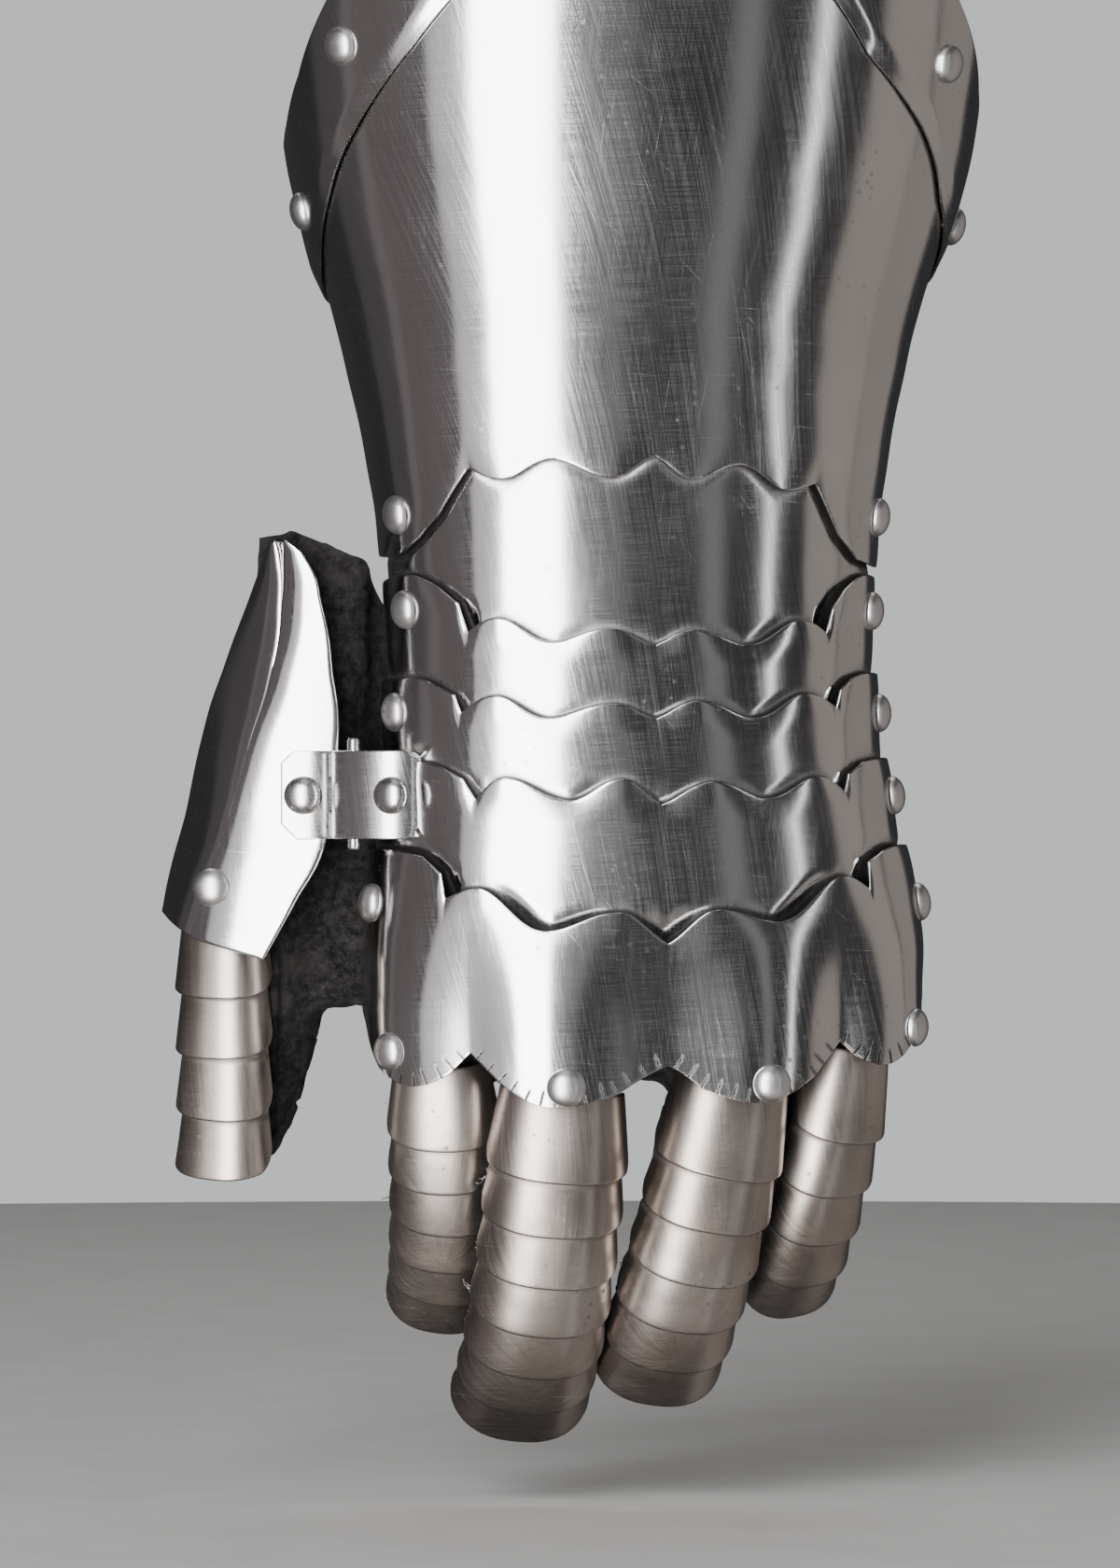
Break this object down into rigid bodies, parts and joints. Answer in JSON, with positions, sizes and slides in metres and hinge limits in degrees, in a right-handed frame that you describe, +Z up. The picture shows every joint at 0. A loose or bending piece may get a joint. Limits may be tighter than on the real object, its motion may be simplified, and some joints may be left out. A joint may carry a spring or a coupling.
{
  "type": "armoured gauntlet",
  "caption": "Left-hand plate gauntlet: flared cuff with a riveted border, scalloped lames, knuckle plate, lamed fingers and a hinged thumb over a suede glove.",
  "frame": {"origin": "on the forearm axis at the wrist, where the gauntlet is worn", "axes": "+Z up the forearm to the cuff, back of the hand faces -Y, thumb at -X, fingers down"},
  "size_m": [0.1567, 0.1113, 0.3451],
  "materials": {
    "plate_steel": "satin, finely brushed",
    "lame_steel": "satin, warm tarnish",
    "rivet_steel": "polished domed heads",
    "suede": "black suede with frayed edges"
  },
  "bodies": {
    "cuff": {"cuff_plate": "plate_steel", "cuff_border": "plate_steel", "cuff_plate_rivet_thumb_side": "rivet_steel", "cuff_plate_rivet_little_side": "rivet_steel", "border_rivet_1": "rivet_steel", "border_rivet_2": "rivet_steel", "border_rivet_3": "rivet_steel", "border_rivet_4": "rivet_steel"},
    "wrist": {"wrist_lame": "plate_steel"},
    "hand_1": {"hand_lame_1": "plate_steel", "hand_lame_1_rivet_thumb_side": "rivet_steel", "hand_lame_1_rivet_little_side": "rivet_steel"},
    "hand_2": {"hand_lame_2": "plate_steel", "hand_lame_2_rivet_thumb_side": "rivet_steel", "hand_lame_2_rivet_little_side": "rivet_steel"},
    "hand_3": {"hand_lame_3": "plate_steel", "hand_lame_3_rivet_little_side": "rivet_steel", "hinge_leaf_hand": "plate_steel", "glove_hand": "suede"},
    "knuckles": {"knuckle_plate": "plate_steel", "knuckle_plate_rivet_thumb_side": "rivet_steel", "knuckle_plate_rivet_little_side": "rivet_steel", "glove_index": "suede", "glove_middle": "suede", "glove_ring": "suede", "glove_little": "suede", "index_lame_1": "lame_steel", "index_lame_2": "lame_steel", "index_lame_3": "lame_steel", "index_lame_4": "lame_steel", "index_lame_5": "lame_steel", "index_lame_6": "lame_steel", "middle_lame_1": "lame_steel", "middle_lame_2": "lame_steel", "middle_lame_3": "lame_steel", "middle_lame_4": "lame_steel", "middle_lame_5": "lame_steel", "middle_lame_6": "lame_steel", "middle_lame_7": "lame_steel", "ring_lame_1": "lame_steel", "ring_lame_2": "lame_steel", "ring_lame_3": "lame_steel", "ring_lame_4": "lame_steel", "ring_lame_5": "lame_steel", "ring_lame_6": "lame_steel", "little_lame_1": "lame_steel", "little_lame_2": "lame_steel", "little_lame_3": "lame_steel", "little_lame_4": "lame_steel", "little_lame_5": "lame_steel"},
    "thumb": {"thumb_plate": "plate_steel", "thumb_rivet": "rivet_steel", "hinge_leaf_thumb": "plate_steel", "glove_thumb": "suede", "thumb_lame_1": "lame_steel", "thumb_lame_2": "lame_steel", "thumb_lame_3": "lame_steel", "thumb_lame_4": "lame_steel"}
  },
  "joints": [
    {"name": "wrist_pivot", "type": "hinge", "parent": "cuff", "child": "wrist", "pos_m": [0, -0.0144, 0.0081], "axis": [1, 0, 0], "range_deg": [-4, 4]},
    {"name": "hand_1_pivot", "type": "hinge", "parent": "wrist", "child": "hand_1", "pos_m": [0, -0.0144, -0.0101], "axis": [1, 0, 0], "range_deg": [-4, 4]},
    {"name": "hand_2_pivot", "type": "hinge", "parent": "hand_1", "child": "hand_2", "pos_m": [0, -0.0116, -0.0298], "axis": [1, 0, 0], "range_deg": [-4, 4]},
    {"name": "hand_3_pivot", "type": "hinge", "parent": "hand_2", "child": "hand_3", "pos_m": [0, -0.0132, -0.0458], "axis": [1, 0, 0], "range_deg": [-4, 4]},
    {"name": "knuckle_pivot", "type": "hinge", "parent": "hand_3", "child": "knuckles", "pos_m": [0, -0.0095, -0.0665], "axis": [1, 0, 0], "range_deg": [-4, 4]},
    {"name": "thumb_hinge", "type": "hinge", "parent": "hand_3", "child": "thumb", "pos_m": [-0.0545, -0.0094, -0.0458], "axis": [0, 0, -1], "range_deg": [-12, 12]}
  ]
}
